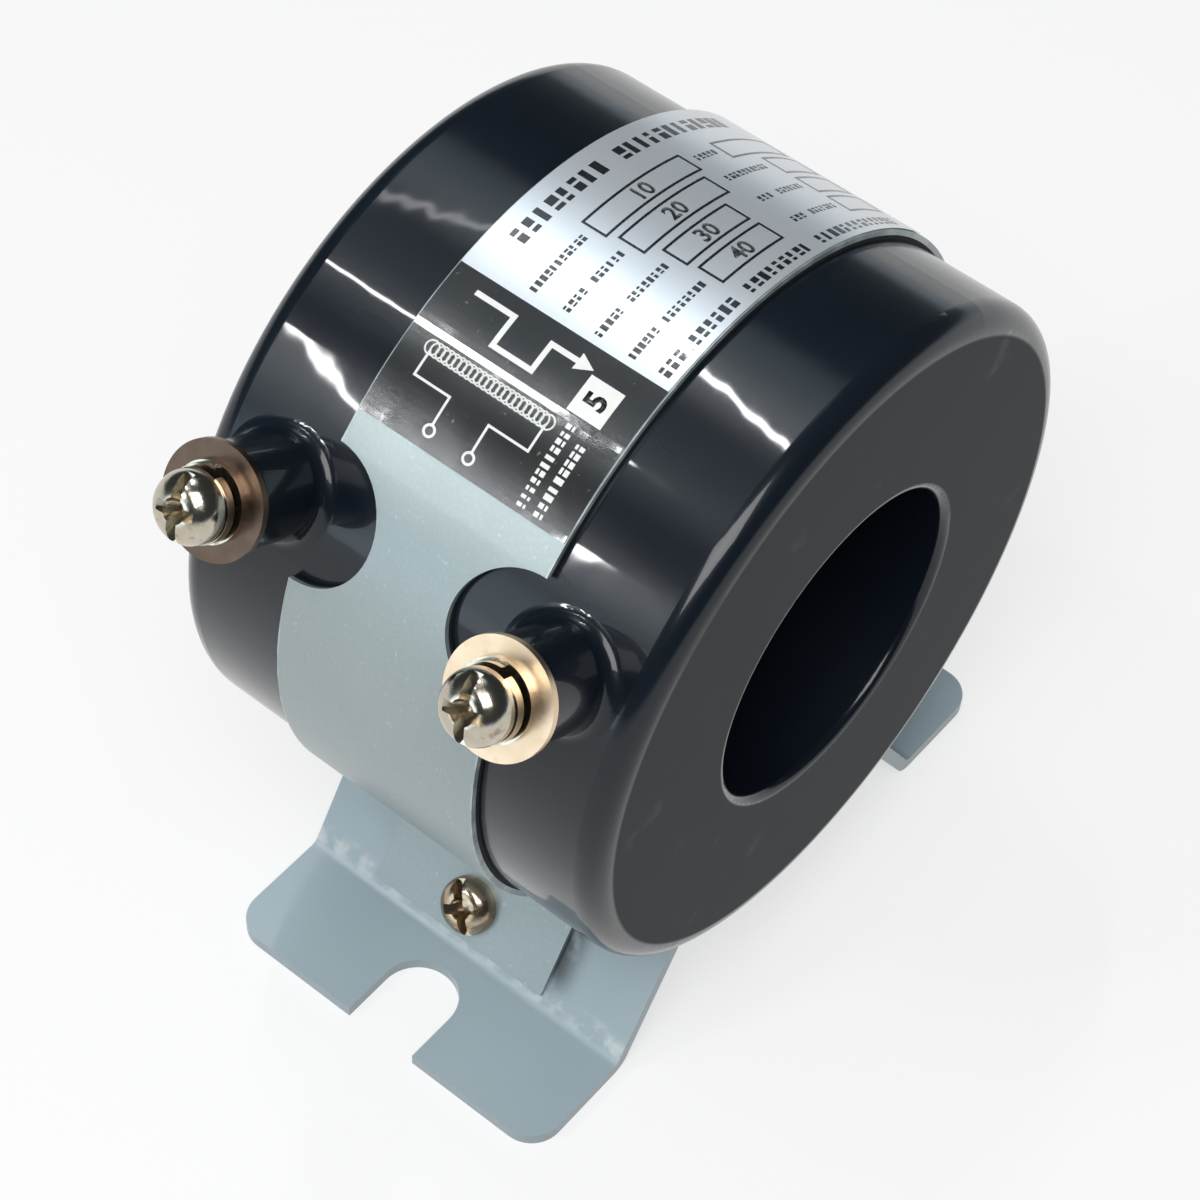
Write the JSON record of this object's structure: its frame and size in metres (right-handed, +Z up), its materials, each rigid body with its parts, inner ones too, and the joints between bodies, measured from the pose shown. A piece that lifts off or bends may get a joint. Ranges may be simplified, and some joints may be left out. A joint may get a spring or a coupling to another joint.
{
  "type": "ring current transformer",
  "caption": "Round black window-type current transformer with a clamp strap, radial screw terminals and a folded saddle bracket with open slots.",
  "frame": {"origin": "centre of the conductor window, halfway along it", "axes": "+Y runs along the window from the front face to the rear face, +Z up, +X away from the terminals"},
  "size_m": [0.1152, 0.071, 0.1211],
  "materials": {
    "housing": "black moulded plastic, glossy round the outside and matt on the end faces",
    "core_steel": "wound silicon steel strip",
    "core_case": "natural moulded nylon",
    "winding_wire": "enamelled copper wire",
    "insulation": "polyester tape",
    "resin": "black potting resin",
    "brass_insert": "turned brass",
    "lead_wire": "enamelled copper wire",
    "washer": "nickel plated steel",
    "screw": "nickel plated steel",
    "liner": "black rubber strip",
    "strap_paint": "blue-grey satin paint on steel strip",
    "label_film": "printed film, silver and black fields",
    "bracket_paint": "pale blue-grey gloss paint on folded steel"
  },
  "bodies": {
    "root": {"front_half_shell": "housing", "rear_half_shell": "housing", "wound_core": "core_steel", "core_case_base": "core_case", "core_case_lid": "core_case", "secondary_winding": "winding_wire", "winding_sleeve": "insulation", "potting_resin": "resin", "front_terminal_insert": "brass_insert", "rear_terminal_insert": "brass_insert", "front_lead": "lead_wire", "rear_lead": "lead_wire", "front_lug_washer": "washer", "rear_lug_washer": "washer", "front_plain_washer": "washer", "rear_plain_washer": "washer", "front_spring_washer": "screw", "rear_spring_washer": "screw", "front_terminal_screw": "screw", "rear_terminal_screw": "screw", "strap_liner": "liner", "clamp_strap": "strap_paint", "rating_label": "label_film", "saddle_bracket": "bracket_paint", "left_ear_screw": "screw", "right_ear_screw": "screw", "left_ear_nut": "screw", "right_ear_nut": "screw"}
  },
  "joints": []
}
